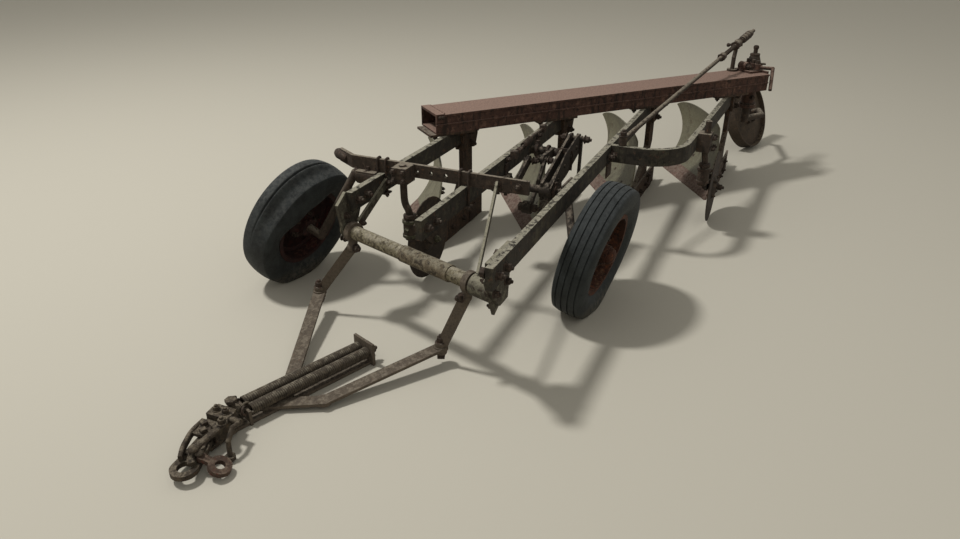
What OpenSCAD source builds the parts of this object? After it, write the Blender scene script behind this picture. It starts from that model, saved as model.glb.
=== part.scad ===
// Four-bottom trailing mouldboard plough, right-handed, parked with its hitch on the ground.
// +X is the way it travels, +Y its land side (left), +Z up, the ground is z = 0.
// Lengths are millimetres. Places are first worked out about the second bottom's beam, then
// the whole machine is moved so that the origin is under the middle of its bounding box.

/* [Bottoms] */
// Width that each bottom cuts, and the beams' spacing
cut_w = 405; // [390:1:420]
// How far each bottom stands behind the one before it
bottom_pitch = 480; // [460:1:500]
// Height of the mouldboard's top edge over the ground
board_top = 415; // [390:1:430]
// Thickness of the mouldboards
board_t = 8; // [6:0.5:10]
// Height of the joint between share and mouldboard
share_h = 62; // [50:1:70]
// Length of the landsides behind the share point
landside_l = 640; // [560:1:680]
// Height of the landsides
landside_h = 118; // [90:1:130]
// Thickness of the landsides
landside_t = 12; // [8:0.5:14]

/* [Beams] */
// Depth of a beam
beam_h = 85; // [75:1:90]
// Thickness of a beam
beam_t = 28; // [22:1:32]
// Height of the beams' top edge over the ground
beam_top = 570; // [560:1:600]
// Thickness of the standards that carry the bottoms
standard_t = 27; // [20:1:32]
// Width of a standard below its casting
standard_w = 112; // [96:1:120]
// How far a standard stands behind the middle of its casting's flange
standard_back = 217; // [205:1:230]
// Running clearance between pieces that seat on each other
seat = 0.3; // [0.2:0.05:0.5]

/* [Overhead beam] */
// Width of the box beam over the standards
box_w = 206; // [180:1:216]
// Depth of the box beam
box_h = 100; // [90:1:110]
// Wall of the box beam
box_wall = 8; // [6:0.5:10]
// Length of the box beam
box_l = 2250; // [2200:1:2260]
// Length of the box beam ahead of the first standard
box_lead = 70; // [60:1:80]

/* [Wheels] */
// Outer diameter of the tyres
tyre_d = 620; // [600:1:640]
// Width of the tyres
tyre_w = 150; // [140:1:156]
// Diameter of the rims' flanges
rim_d = 384; // [370:1:400]
// Height of the slack tyres' axles over the ground
axle_h = 288; // [282:1:300]
// Diameter of the wheel spindles and crank shafts
spindle_d = 38; // [34:1:42]
// Radial clearance of shafts in their bores
fit = 0.05; // [0.02:0.01:0.1]
// Lean of the furrow wheel, its top towards the land
furrow_lean = 19; // [15:1:21]
// Lean of the land wheel, its top away from the beams
land_lean = 12; // [8:1:15]
// Outer diameter of the rear steel wheel
rear_d = 500; // [480:1:520]
// Width of the rear steel wheel
rear_w = 76; // [60:1:90]
// Angle at which the rear wheel is turned
rear_toe = 18; // [12:1:24]
// Lean of the rear wheel, its foot against the furrow wall
rear_lean = 20; // [16:1:22]

/* [Coulters] */
// Diameter of the coulter discs
disc_d = 400; // [380:1:406]
// Thickness of the coulter discs
disc_t = 5; // [4:0.5:6]

/* [Hitch] */
// Diameter of the front cross tube
tube_d = 60; // [54:1:64]
// Outer diameter of the release springs
spring_d = 44; // [38:1:46]
// Wire diameter of the release springs
spring_wire = 9; // [8:0.5:10]
// Radius of the hole in the hitch loop
hitch_hole_r = 24; // [20:0.5:26]

/* [Hidden] */
$fn = 48;
IRON = "#4a453c";
BEAM = "#4f4f45";
LICHEN = "#8b8877";
RUST = "#6d4a3e";
RED = "#7a4a41";
BOARD = "#8d8a78";
SHARE = "#8b6f68";
RUBBER = "#3c4243";
DIRT = "#8a8069";

// Distance from the machine's own datum to the middle of its box
mid_x = -15.5;
mid_y = 31.3;
beam_bottom = beam_top - beam_h;
// Standard i stands at post_x(i), post_y(i)
function post_x(i) = 250 - bottom_pitch * i;
function post_y(i) = cut_w * (i - 1);
box_dir = atan2(cut_w, -bottom_pitch);
box_front = 23;
// A place in plan given along and across the box beam from the first standard's pad
function from_box(along, across) = [post_x(0) + along * cos(box_dir) - across * sin(box_dir),
    post_y(0) + along * sin(box_dir) + across * cos(box_dir)];
casting_top = beam_top + seat + 12;
box_z = casting_top + seat;
box_top = box_z + box_h;
furrow_x = 978;
furrow_y = -826;
furrow_toe = 6.5;
land_x = 702;
land_y = 545;
land_toe = 5;
crank_x = 887;
crank_z = beam_bottom + 60;
land_pivot_x = 480;
land_pivot_z = beam_bottom - 45;
// The kingpin stands off the box beam's end; the rear wheel trails behind and outside it
king_gap = 48;
king_in = 17;
king_x = box_l - box_lead + king_gap;
king_y = box_w - box_front - king_in;
rear_pivot = from_box(king_x, king_y);
rear_x = rear_pivot[0] - 558;
rear_y = rear_pivot[1] - 37;
rear_axle_h = rear_d / 2 * cos(rear_lean) + rear_w / 2 * sin(rear_lean);
disc_r = disc_d / 2;
coulter_1 = [712, -285];
coulter_4 = [-570, 866];
lead_1 = 225;
lead_4 = 255;
// Side of each disc that its yoke stands on
side_1 = 1;
side_4 = -1;
shank_y_1 = -275;
shank_y_4 = 823;
tube_z = 400;
tube_l = [1164.5, -438, tube_z];
tube_r = [1400, 300, tube_z];
hitch_turn = -20.6;
pin_x = 1795;
pin_y = -285;

module to_origin() {
    translate([-mid_x, -mid_y, 0])
        children();
}

// A round bar from p to q
module rod(p, q, d) {
    v = q - p;
    len = norm(v);
    translate(p)
        rotate([0, acos(v[2] / len), atan2(v[1], v[0])])
            cylinder(d = d, h = len);
}

// A round bar bent through the listed points, with a ball at each bend
module bent_bar(points, d) {
    for (i = [0 : len(points) - 2])
        rod(points[i], points[i + 1], d);
    for (i = [1 : len(points) - 2])
        translate(points[i])
            sphere(d = d + 1.2);
}

// A profile in the x-z plane, drawn thick from y0 to y0 + t
module side_plate(points, y0, t) {
    translate([0, y0 + t, 0])
        rotate([90, 0, 0])
            linear_extrude(t)
                polygon(points);
}

module along_y(p) {
    translate(p)
        rotate([-90, 0, 0])
            children();
}

// Beams

module straight_beam(i, front_x) {
    y = post_y(i);
    back = post_x(i) - standard_back + standard_w / 2 + 6;
    color(BEAM)
        difference() {
            translate([back, y - beam_t / 2, beam_bottom])
                cube([front_x - back, beam_t, beam_h]);
            for (x = [front_x - 40, front_x - 110])
                along_y([x, y - beam_t, beam_top - beam_h / 2])
                    cylinder(d = 18, h = 2 * beam_t);
        }
}

module beam_a() { straight_beam(0, 1165); }
module beam_b() { straight_beam(1, 1307); }
module beam_c() { straight_beam(2, 1560); }

// The rear beam leaves its casting straight, draws to the right, bends and butts on the third beam
d_kink = [post_x(3) - 90, post_y(3)];
d_skew = 2.5;
d_front_x = 62;
d_bend_r = 200;
module beam_d() {
    back = post_x(3) - standard_back + standard_w / 2 + 6;
    end_y = post_y(2) + beam_t / 2 + seat;
    along = [cos(d_skew), -sin(d_skew)];
    across = beam_t / 2 * [sin(d_skew), cos(d_skew)];
    corner = d_kink + (d_front_x + 8 - d_kink[0] - d_bend_r * (1 - sin(d_skew))) * along;
    centre = corner + d_bend_r * [-sin(d_skew), -cos(d_skew)];
    steps = 12;
    function arc(r) = [for (k = [0 : steps]) let (a = (90 - d_skew) * k / steps)
        centre + r * [cos(a), sin(a)]];
    inner = arc(d_bend_r - beam_t / 2);
    outer = arc(d_bend_r + beam_t / 2);
    color(BEAM)
        translate([0, 0, beam_bottom])
            linear_extrude(beam_h)
                polygon(concat([[back, d_kink[1] - beam_t / 2], d_kink - across],
                    [for (k = [0 : steps]) inner[steps - k]],
                    [[inner[0][0], end_y], [outer[0][0], end_y]], outer,
                    [d_kink + across, [back, d_kink[1] + beam_t / 2]]));
}

// Overhead box beam

module on_box() {
    translate([post_x(0), post_y(0), 0])
        rotate([0, 0, box_dir])
            children();
}

module overhead_beam() {
    lip = 6;
    color(RED)
        on_box()
            translate([-box_lead, -box_front, box_z])
                difference() {
                    union() {
                        cube([box_l, box_w, box_h]);
                        translate([0, -lip, box_h * 0.45])
                            cube([box_l, lip + 1, lip]);
                        translate([0, -lip, box_h - 10])
                            cube([box_l, lip + 1, 10]);
                        translate([0, -lip, box_h - 40])
                            cube([46, box_w + lip, 44]);
                    }
                    translate([-10, box_wall, box_wall])
                        cube([box_l + 20, box_w - 2 * box_wall, box_h - 2 * box_wall]);
                }
}

// Castings that clasp the beams' rear ends and the standards' heads

module standard_castings() {
    cheek = 16;
    slot = beam_t / 2 + seat;
    w = standard_w / 2;
    flange = 255;
    color(RUST)
        for (i = [0 : 3]) {
            translate([post_x(i) - standard_back, post_y(i), 0])
                difference() {
                    side_plate([[-w - 46, beam_top + seat], [-w - 40, 500], [-w - 12, 440],
                        [w + 4, 440], [w + 30, beam_bottom], [w + 46, beam_top + seat]],
                        -slot - cheek, 2 * (slot + cheek));
                    translate([-w - 0.3, -slot, 400])
                        cube([300, 2 * slot, beam_top - 400]);
                }
            translate([post_x(i), post_y(i), beam_top + seat])
                rotate([0, 0, box_dir])
                    translate([-104, -box_front, 0])
                        cube([flange, box_w - 20, 12]);
        }
}

// Standards with their frogs

module standard(i) {
    w = standard_w / 2;
    head = beam_top - seat;
    color(RUST)
        translate([post_x(i), post_y(i), 0]) {
            side_plate([[-standard_back - w, head], [-standard_back - w, 300], [-190, 190],
                [-200, 95], [-200, 16], [208, 16], [208, 59], [130, 92], [40, 120], [-60, 190],
                [-standard_back + w, 300], [-standard_back + w, head]],
                -standard_t / 2, standard_t);
            translate([0, 0, 26])
                linear_extrude(22)
                    polygon([[150, -standard_t / 2 + 1], [-150, -standard_t / 2 + 1],
                        [-230, -236]]);
        }
}

module standard_1() { standard(0); }
module standard_2() { standard(1); }
module standard_3() { standard(2); }
module standard_4() { standard(3); }

// Mouldboards: sections from shin to wing. Columns: foot x, foot y, top x, top y, top z
// over board_top, how far the middle is hollowed
BOARD_SECTIONS = [
    [240, -1, 52, -14, -10, 12],
    [70, -116, -118, -128, 12, 52],
    [-100, -231, -292, -242, 14, 66],
    [-270, -346, -470, -372, -12, 62]];
board_u = 12;
board_v = 8;

function section_at(s, k) = let (n = min(floor(s), 2), f = s - n)
    BOARD_SECTIONS[n][k] * (1 - f) + BOARD_SECTIONS[n + 1][k] * f;
function board_point(u, v, back) =
    let (s = 3 * u,
        hollow = section_at(s, 5) * 4 * v * (1 - v) + back,
        x = section_at(s, 0) * (1 - v) + section_at(s, 2) * v - 0.5 * hollow,
        y = section_at(s, 1) * (1 - v) + section_at(s, 3) * v + 0.866 * hollow,
        z = (share_h + seat) * (1 - v) + (board_top + section_at(s, 4)) * v)
    [x, y, z];

module mouldboard(i) {
    n = board_u + 1;
    m = board_v + 1;
    points = [for (b = [0, board_t]) for (j = [0 : board_v]) for (k = [0 : board_u])
        board_point(k / board_u, j / board_v, b)];
    function id(b, j, k) = b * n * m + j * n + k;
    faces = concat(
        [for (j = [0 : board_v - 1]) for (k = [0 : board_u - 1]) for (h = [0, 1]) h == 0
            ? [id(0, j, k), id(0, j + 1, k), id(0, j, k + 1)]
            : [id(0, j, k + 1), id(0, j + 1, k), id(0, j + 1, k + 1)]],
        [for (j = [0 : board_v - 1]) for (k = [0 : board_u - 1]) for (h = [0, 1]) h == 0
            ? [id(1, j, k), id(1, j, k + 1), id(1, j + 1, k)]
            : [id(1, j, k + 1), id(1, j + 1, k + 1), id(1, j + 1, k)]],
        [for (k = [0 : board_u - 1]) [id(0, 0, k), id(0, 0, k + 1), id(1, 0, k + 1), id(1, 0, k)]],
        [for (k = [0 : board_u - 1])
            [id(0, board_v, k), id(1, board_v, k), id(1, board_v, k + 1), id(0, board_v, k + 1)]],
        [for (j = [0 : board_v - 1]) [id(0, j, 0), id(1, j, 0), id(1, j + 1, 0), id(0, j + 1, 0)]],
        [for (j = [0 : board_v - 1])
            [id(0, j, board_u), id(0, j + 1, board_u), id(1, j + 1, board_u), id(1, j, board_u)]]);
    color(BOARD)
        translate([post_x(i), post_y(i), 0])
            polyhedron(points, faces);
}

module mouldboard_1() { mouldboard(0); }
module mouldboard_2() { mouldboard(1); }
module mouldboard_3() { mouldboard(2); }
module mouldboard_4() { mouldboard(3); }

// Shares: a wedge from the cutting edge up to the mouldboard's foot
module share(i) {
    point = [330, -10];
    wing = [-228, -cut_w + 8];
    color(SHARE)
        translate([post_x(i), post_y(i), 0]) {
            hull() {
                for (p = [point, wing])
                    translate([p[0], p[1], 0])
                        cylinder(d1 = 4, d2 = 3, h = 3, $fn = 8);
                for (k = [0, 3])
                    translate([BOARD_SECTIONS[k][0], BOARD_SECTIONS[k][1] + 4, share_h - 12])
                        cylinder(d = 8, h = 12, $fn = 8);
            }
            side_plate([[216, 4], [324, 0], [244, share_h - 3], [216, share_h - 3]], -9, 9);
        }
}

module share_1() { share(0); }
module share_2() { share(1); }
module share_3() { share(2); }
module share_4() { share(3); }

module landside(i) {
    front = 262;
    color(RUST)
        translate([post_x(i), post_y(i), 0])
            side_plate([[front - landside_l, 0], [front + 20, 0], [front - 20, 55],
                [front - 120, landside_h], [front - landside_l, landside_h]],
                standard_t / 2 + seat, landside_t);
}

module landside_1() { landside(0); }
module landside_2() { landside(1); }
module landside_3() { landside(2); }
module landside_4() { landside(3); }

// Cross bar with holes, over the front of the beams
module cross_bar() {
    h = 60;
    t = 16;
    bend_y = -560;
    tail = [-62, -108];
    color(RUST)
        difference() {
            translate([crank_x, 0, beam_top + seat])
                linear_extrude(h)
                    polygon([[-t / 2, 290], [t / 2, 290], [t / 2, bend_y - 3],
                        [t / 2 + tail[0], bend_y - 3 + tail[1]], [-t / 2 + tail[0], bend_y + 3 + tail[1]],
                        [-t / 2, bend_y + 3]]);
            for (y = [-230, -160, -90])
                translate([crank_x - 2 * t, y, beam_top + h / 2])
                    rotate([0, 90, 0])
                        cylinder(d = 17, h = 4 * t);
        }
}

module front_tube() {
    color(DIRT)
        rod(tube_l, tube_r, tube_d);
}

module front_brackets() {
    cheek = 14;
    ya = post_y(0) - beam_t / 2 - seat - cheek;
    yc = post_y(2) - beam_t / 2 - seat - cheek;
    color(RUST)
        difference() {
            union() {
                side_plate([[1050, beam_bottom + 10], [1165, beam_top], [1230, beam_top - 40],
                    [1196, tube_z - 45], [1125, tube_z - 45]], ya, cheek);
                side_plate([[1330, beam_bottom + 6], [1330, beam_top], [1530, beam_top], [1530, beam_bottom],
                    [1455, tube_z - 20], [1425, tube_z - 48], [1350, tube_z - 48]], yc, cheek);
                rod(tube_r - 26 * tube_dir, [tube_r[0] + 22, yc + 1, tube_z], tube_d + 26);
                flat_bar([1500, yc - 5, 500], [1425, yc - 5, 330], 44, 12);
            }
            rod(tube_l, tube_r + 0.01 * (tube_r - tube_l), tube_d + 2 * seat);
        }
}

// A flat bar from p to q, w wide and t thick, standing on edge
module flat_bar(p, q, w, t) {
    v = q - p;
    translate(p)
        rotate([0, -asin(v[2] / norm(v)), atan2(v[1], v[0])])
            translate([0, -t / 2, -w / 2])
                cube([norm(v), t, w]);
}

module struts() {
    color(LICHEN)
        difference() {
            union() {
                flat_bar([880, post_y(0) + beam_t / 2 + seat + 6, 540],
                    [1160, post_y(0) + beam_t / 2 + seat + 6, 412], 36, 12);
                flat_bar([crank_x + 8 + seat, 150, 600], [1400, 290, 440], 30, 10);
            }
            rod(tube_l, tube_l + 120 * tube_dir, tube_d + 44);
            rod(tube_r - 80 * tube_dir, tube_r + 20 * tube_dir, tube_d + 44);
            translate([crank_x - 100, 0, beam_top])
                cube([108 + seat, 300, 100]);
        }
}

// Bearing blocks of the two crank axles, under the cross bar and under the second beam
module bearing_block(x, y, z, l, top) {
    r = spindle_d / 2 + 21;
    difference() {
        union() {
            translate([x - r, y, z])
                cube([2 * r, l, top - z]);
            along_y([x, y - 6, z])
                cylinder(r = r + 4, h = l + 12);
        }
        along_y([x, y - 50, z])
            cylinder(d = spindle_d + 2 * fit, h = l + 100);
        translate([x - 2 * r, y - 20, top])
            cube([4 * r, l + 40, 2 * r]);
    }
}

module crank_bearings() {
    color(IRON) {
        bearing_block(crank_x, -525, crank_z, 90, beam_top);
        bearing_block(land_pivot_x, -36, land_pivot_z, 72, beam_bottom - seat);
    }
}

// A flat link between two pin places in the x-z plane, round at both ends
module link_plate(p, q, w, y, t) {
    side = w / 2 / norm(q - p) * [p[1] - q[1], q[0] - p[0]];
    translate([0, y + t, 0])
        rotate([90, 0, 0])
            linear_extrude(t)
                union() {
                    translate(p)
                        circle(d = w + 3);
                    translate(q)
                        circle(d = w + 3);
                    polygon([p + side, q + side, q - side, p - side]);
                }
}

// Lever plates, a trip arm and a hanging link clamped on the land wheel's crank shaft
module lift_lever() {
    x = land_pivot_x;
    z = land_pivot_z;
    pin = [x - 390, z + 145];
    color(IRON)
        difference() {
            union() {
                for (y = [205, 245])
                    side_plate([[x - 420, z + 130], [x - 410, z + 165], [x - 370, z + 168],
                        [x + 30, z + 44], [x + 30, z - 40], [x - 30, z - 44]], y, 12);
                along_y([pin[0], 190, pin[1]])
                    cylinder(d = 26, h = 94);
                along_y([x, 200, z])
                    cylinder(d = 76, h = 62);
                link_plate(pin, [x - 372, z - 96], 30, 262, 10);
                link_plate([x, z], [x - 172, z + 74], 44, 62, 14);
                along_y([x, 52, z])
                    cylinder(d = 68, h = 34);
                along_y([x - 172, 46, z + 74])
                    cylinder(d = 22, h = 46);
            }
            along_y([x, 20, z])
                cylinder(d = spindle_d + 2 * seat, h = 300);
        }
}

// A stub shaft on the second beam with the trip mechanism's arm and rod
module lift_shaft() {
    shaft = [110, beam_bottom + 20];
    joint = [258, beam_bottom + 24];
    foot = [455, beam_bottom - 156];
    color(IRON) {
        along_y([shaft[0], beam_t / 2 + seat, shaft[1]])
            cylinder(d = 44, h = 150);
        link_plate(shaft, joint, 46, 118, 16);
        link_plate(joint, foot, 28, 133, 12);
        along_y([joint[0], 108, joint[1]])
            cylinder(d = 24, h = 48);
        along_y([foot[0], 104, foot[1]])
            cylinder(d = 62, h = 42);
    }
}

// A coulter's shank goes down from its clamp, cranks across and ends in the yoke's swivel
shank_d = 32;
module coulter_shank(c, y_post, lead, side) {
    x = c[0] + lead;
    swivel = c[1] + 34 * side;
    bent_bar([[x, y_post, beam_top + 75], [x, y_post, 458], [x, swivel, 423],
        [x, swivel, 300]], shank_d);
    translate([x, swivel, 292])
        cylinder(d = 50, h = 12);
}

module coulter_shanks() {
    color(RUST) {
        coulter_shank(coulter_1, shank_y_1, lead_1, side_1);
        coulter_shank(coulter_4, shank_y_4, lead_4, side_4);
    }
}

module coulter_clamps() {
    x4 = coulter_4[0] + lead_4;
    y4 = d_kink[1] - (x4 - d_kink[0]) * tan(d_skew);
    color(IRON) {
        difference() {
            translate([crank_x + 8 + seat, shank_y_1 - 35, beam_top - 10])
                cube([80, 70, 72]);
            translate([coulter_1[0] + lead_1, shank_y_1, 400])
                cylinder(d = shank_d + 2 * seat, h = 300);
        }
        difference() {
            translate([x4, y4, beam_bottom - 6])
                rotate([0, 0, -d_skew])
                    translate([-35, beam_t / 2 + seat, 0])
                        cube([70, 66, beam_h + 12]);
            translate([x4, shank_y_4, 400])
                cylinder(d = shank_d + 2 * seat, h = 300);
        }
    }
}

// The rear wheel's adjusting screw runs from the bend of the rear beam to a post on the box beam
screw_from = [60, 470, 600];
screw_to = [-1450, 795, 840];
screw_dir = (screw_to - screw_from) / norm(screw_to - screw_from);
module adjusting_screw() {
    foot = from_box(king_x - 183, king_y - 6);
    color(IRON) {
        rod(screw_from, screw_to + 300 * screw_dir, 24);
        rod([screw_from[0], screw_from[1], beam_top], screw_from + [0, 0, 15], 40);
        rod(screw_to - 34 * screw_dir, screw_to + 30 * screw_dir, 52);
        rod(screw_to - 270 * screw_dir, screw_to - 235 * screw_dir, 46);
        rod(screw_to + 90 * screw_dir, screw_to + 240 * screw_dir, 44);
        rod(screw_to + 160 * screw_dir, screw_to + 160 * screw_dir + [20, -60, -46], 16);
        bent_bar([[foot[0], foot[1], box_top + 4], [foot[0], foot[1], 762], screw_to], 26);
        translate([foot[0], foot[1], box_top + seat])
            cylinder(d = 64, h = 12);
    }
}

// Kingpin housing on a saddle over the box beam's end, with its clamps and a bent stay
housing_h = 275;
module rear_column() {
    end = box_l - box_lead + seat;
    plate = 14;
    top = box_top + seat;
    color(RED)
        difference() {
            union() {
                translate([rear_pivot[0], rear_pivot[1], top + 22 - housing_h])
                    cylinder(d = 84, h = housing_h);
                translate([rear_pivot[0], rear_pivot[1], top + 22 - housing_h])
                    cylinder(d = 108, h = 20);
                translate([rear_pivot[0], rear_pivot[1], top + 4])
                    cylinder(d = 112, h = 18);
                on_box() {
                    translate([end, 20 - box_front, box_z])
                        cube([plate, box_w - 40, top + 12 - box_z]);
                    translate([end - 100, king_y - 128, top])
                        cube([100 + plate, 138, 12]);
                    translate([end + plate - 4, king_y - 25, box_z])
                        cube([king_gap - plate, 50, box_h]);
                    translate([end - 74, king_y - 12, top + 32])
                        rotate([90, 0, 0])
                            cylinder(d = 50, h = 62);
                    translate([end - 97, king_y - 64, top + 6])
                        cube([46, 42, 24]);
                    for (y = [king_y - 104, king_y - 66, king_y - 20])
                        translate([end - 22, y, top + 10])
                            cylinder(d = 38, h = 38, $fn = 6);
                    bent_bar([[end + king_gap, king_y - 30, top + 8],
                        [end + king_gap + 28, king_y - 139, top + 18],
                        [end - 5, -box_front - 33, box_z + 8]], 22);
                }
            }
            translate([rear_pivot[0], rear_pivot[1], 300])
                cylinder(d = 50 + 2 * fit, h = 600);
        }
}

// Wheels

TYRE_ARC = 14;
module tyre(w, d) {
    bead_r = rim_d / 2 - 14;
    r = d / 2;
    mid = (r + bead_r) / 2;
    rotate_extrude($fn = 96)
        polygon(concat([[bead_r, -w * 0.34], [rim_d / 2 + 2, -w * 0.34]],
            [for (k = [0 : TYRE_ARC]) let (a = -90 + 180 * k / TYRE_ARC)
                [mid + (r - mid) * pow(cos(a), 0.5), w / 2 * sin(a)]],
            [[rim_d / 2 + 2, w * 0.34], [bead_r, w * 0.34]]));
}

module rim(w) {
    r = rim_d / 2;
    seat_r = r - 14 - seat;
    hub_l = 110;
    difference() {
        union() {
            rotate_extrude($fn = 96)
                polygon([[r, -w * 0.34 - 5], [r, -w * 0.34 - seat], [seat_r, -w * 0.34 - seat],
                    [seat_r, w * 0.34 + seat], [r, w * 0.34 + seat], [r, w * 0.34 + 5],
                    [seat_r - 6, w * 0.34 + 5], [seat_r - 6, -w * 0.34 - 5]]);
            translate([0, 0, -8])
                cylinder(r = seat_r - 5, h = 8);
            translate([0, 0, -hub_l / 2])
                cylinder(d = 84, h = hub_l);
        }
        translate([0, 0, -hub_l])
            cylinder(d = spindle_d + 2 * fit, h = 2 * hub_l);
        for (a = [0 : 72 : 359])
            rotate([0, 0, a])
                translate([105, 0, -20])
                    cylinder(d = 44, h = 40);
    }
}

module wheel_at(x, y, toe, lean) {
    translate([x, y, axle_h])
        rotate([0, 0, -toe])
            rotate([-90 - lean, 0, 0])
                children();
}

module above_ground() {
    intersection() {
        children();
        translate([-3000, -3000, 0])
            cube([6000, 6000, 2000]);
    }
}

module furrow_tyre() {
    color(RUBBER)
        above_ground()
            wheel_at(furrow_x, furrow_y, furrow_toe, furrow_lean)
                tyre(tyre_w, tyre_d);
}

module furrow_rim() {
    color(RUST)
        wheel_at(furrow_x, furrow_y, furrow_toe, furrow_lean)
            rim(tyre_w);
}

// A point on a leaning wheel's axis, k to the land side of the wheel's middle
function on_axle(x, y, toe, lean, k) =
    [x + k * sin(toe) * cos(lean), y + k * cos(toe) * cos(lean), axle_h - k * sin(lean)];

module furrow_crank() {
    color(IRON)
        bent_bar([[crank_x, -430, crank_z], [crank_x, -556, crank_z],
            on_axle(furrow_x, furrow_y, furrow_toe, furrow_lean, 130),
            on_axle(furrow_x, furrow_y, furrow_toe, furrow_lean, -62)], spindle_d);
}

module land_tyre() {
    color(RUBBER)
        above_ground()
            wheel_at(land_x, land_y, land_toe, land_lean)
                tyre(tyre_w, tyre_d);
}

module land_rim() {
    color(RUST)
        wheel_at(land_x, land_y, land_toe, land_lean)
            rim(tyre_w);
}

module land_crank() {
    color(IRON)
        bent_bar([[land_pivot_x, -44, land_pivot_z], [land_pivot_x, 330, land_pivot_z],
            on_axle(land_x, land_y, land_toe, land_lean, -120),
            on_axle(land_x, land_y, land_toe, land_lean, 62)], spindle_d);
}

module rear_set() {
    translate([rear_x, rear_y, rear_axle_h])
        rotate([0, 0, -rear_toe])
            rotate([-90 + rear_lean, 0, 0])
                children();
}

module rear_wheel() {
    r = rear_d / 2;
    color(IRON)
        rear_set()
            difference() {
                union() {
                    rotate_extrude($fn = 96)
                        polygon([[r - 10, -rear_w / 2], [r, -rear_w / 2], [r, rear_w / 2],
                            [r - 10, rear_w / 2], [r - 10, 8], [40, 26], [40, 18], [r - 10, 0]]);
                    translate([0, 0, -50])
                        cylinder(d = 90, h = 100);
                }
                translate([0, 0, -60])
                    cylinder(d = 32 + 2 * fit, h = 120);
            }
}

function on_rear_axle(k) = [rear_x + k * sin(rear_toe) * cos(rear_lean),
    rear_y + k * cos(rear_toe) * cos(rear_lean), rear_axle_h + k * sin(rear_lean)];

module rear_axle_arm() {
    color(IRON) {
        translate([rear_pivot[0], rear_pivot[1], 330])
            cylinder(d = 50, h = box_top + 24 - 330);
        translate([rear_pivot[0], rear_pivot[1], box_top + 22 + 2 * seat]) {
            cylinder(d1 = 96, d2 = 52, h = 66);
            cylinder(d = 26, h = 108);
            rotate([0, 0, 105])
                translate([-74, -12, 0])
                    cube([148, 24, 9]);
        }
        bent_bar([[rear_pivot[0], rear_pivot[1], 350], [rear_x + 340, rear_y + 130, 330],
            on_rear_axle(100), on_rear_axle(60)], 40);
        rod(on_rear_axle(-56), on_rear_axle(75), 32);
    }
}

// Rolling coulters

module coulter_yoke(c, lead, side) {
    x = c[0] + lead;
    swivel = c[1] + 34 * side;
    color(RUST) {
        difference() {
            union() {
                translate([x, swivel, 304 + seat])
                    cylinder(d = 62, h = 84);
                side_plate([[c[0] - 24, disc_r - 22], [c[0] - 24, disc_r + 24], [x - 60, 386],
                    [x, 386], [x, 310], [x - 50, 306], [c[0] + 24, disc_r - 22]],
                    c[1] + 33 * side - 7, 14);
            }
            translate([x, swivel, 200])
                cylinder(d = shank_d + 2 * fit, h = 300);
        }
        along_y([c[0], c[1] - 30 + 4 * side, disc_r])
            cylinder(d = 22, h = 60);
    }
}

module coulter_disc(c) {
    color(IRON)
        along_y([c[0], c[1], disc_r])
            difference() {
                union() {
                    translate([0, 0, -disc_t / 2])
                        cylinder(r = disc_r - 1, h = disc_t, $fn = 96);
                    translate([0, 0, -21])
                        cylinder(d = 64, h = 42);
                }
                translate([0, 0, -40])
                    cylinder(d = 22 + 2 * fit, h = 80);
            }
}

module coulter_yoke_1() { coulter_yoke(coulter_1, lead_1, side_1); }
module coulter_disc_1() { coulter_disc(coulter_1); }
module coulter_yoke_4() { coulter_yoke(coulter_4, lead_4, side_4); }
module coulter_disc_4() { coulter_disc(coulter_4); }

// Hitch

// Corners of the two drawbar sides, from the bend below the front tube to the draft bar
strap_path_l = [[1247, -547, 110], [1738, -339, 22], [1831, -299, 22]];
strap_path_r = [[1382, 123, 78], [1804, -141, 26], [1905, -327, 22]];
strap_t = 12;
tube_dir = (tube_r - tube_l) / norm(tube_r - tube_l);

// One side of the drawbar: an eye on the front tube, a flat link down to a pin and a strap forward
module drawbar_side(eye, knee, path) {
    eye_l = 26;
    strap_w = 52;
    last = len(path) - 1;
    difference() {
        union() {
            rod(eye, eye + eye_l * tube_dir, tube_d + 28);
            rod(eye + eye_l / 2 * tube_dir, knee, 40);
        }
        rod(eye - eye_l * tube_dir, eye + 2 * eye_l * tube_dir, tube_d + 2 * fit);
    }
    translate(knee)
        sphere(d = 49);
    flat_bar(knee, path[0], 44, 16);
    translate(path[0] - [0, 0, 24])
        cylinder(d = 48, h = 48);
    for (i = [0 : last - 1])
        flat_bar(path[i], path[i + 1], strap_t, strap_w);
    for (p = path)
        translate(p - [0, 0, strap_t / 2 + 2])
            cylinder(d = strap_w + 6, h = strap_t + 4);
    translate(path[last])
        cylinder(d = 26, h = strap_t - 1);
}

module drawbar() {
    color(RUST) {
        drawbar_side(tube_l + 42 * tube_dir, [1194, -389, 335], strap_path_l);
        drawbar_side(tube_r - 60 * tube_dir, [1386, 236, 335], strap_path_r);
    }
}

// The draft bars, springs and hitch head lie along one line, turned from the line of travel
module hitch_frame() {
    translate([pin_x, pin_y, 0])
        rotate([0, 0, hitch_turn])
            children();
}

spring_z = 56;
spring_l = 520;
spring_back = -325;
head_x = 240;
module draft_bar() {
    color(RUST)
        hitch_frame() {
            difference() {
                translate([spring_back - 12, -42, 2])
                    cube([head_x + 40 - spring_back, 84, 12 - seat]);
                translate([head_x, 0, 0])
                    cylinder(d = 24 + 2 * fit, h = 100, center = true);
            }
            translate([spring_back - 12 - seat, -60, 2])
                cube([12, 120, 96]);
            translate([spring_back + spring_l, -48, 2])
                cube([10, 96, 60]);
        }
}

module release_springs() {
    color(IRON)
        hitch_frame()
            for (y = [-27, 27])
                translate([spring_back, y, spring_z])
                    rotate([0, 90, 0])
                        cylinder(d = spring_d, h = spring_l - seat);
}

// The head swings on a pin at the front of the draft bar
head_turn = 21.5;
module head_frame() {
    hitch_frame()
        translate([head_x, 0, 0])
            rotate([0, 0, head_turn])
                children();
}

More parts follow.
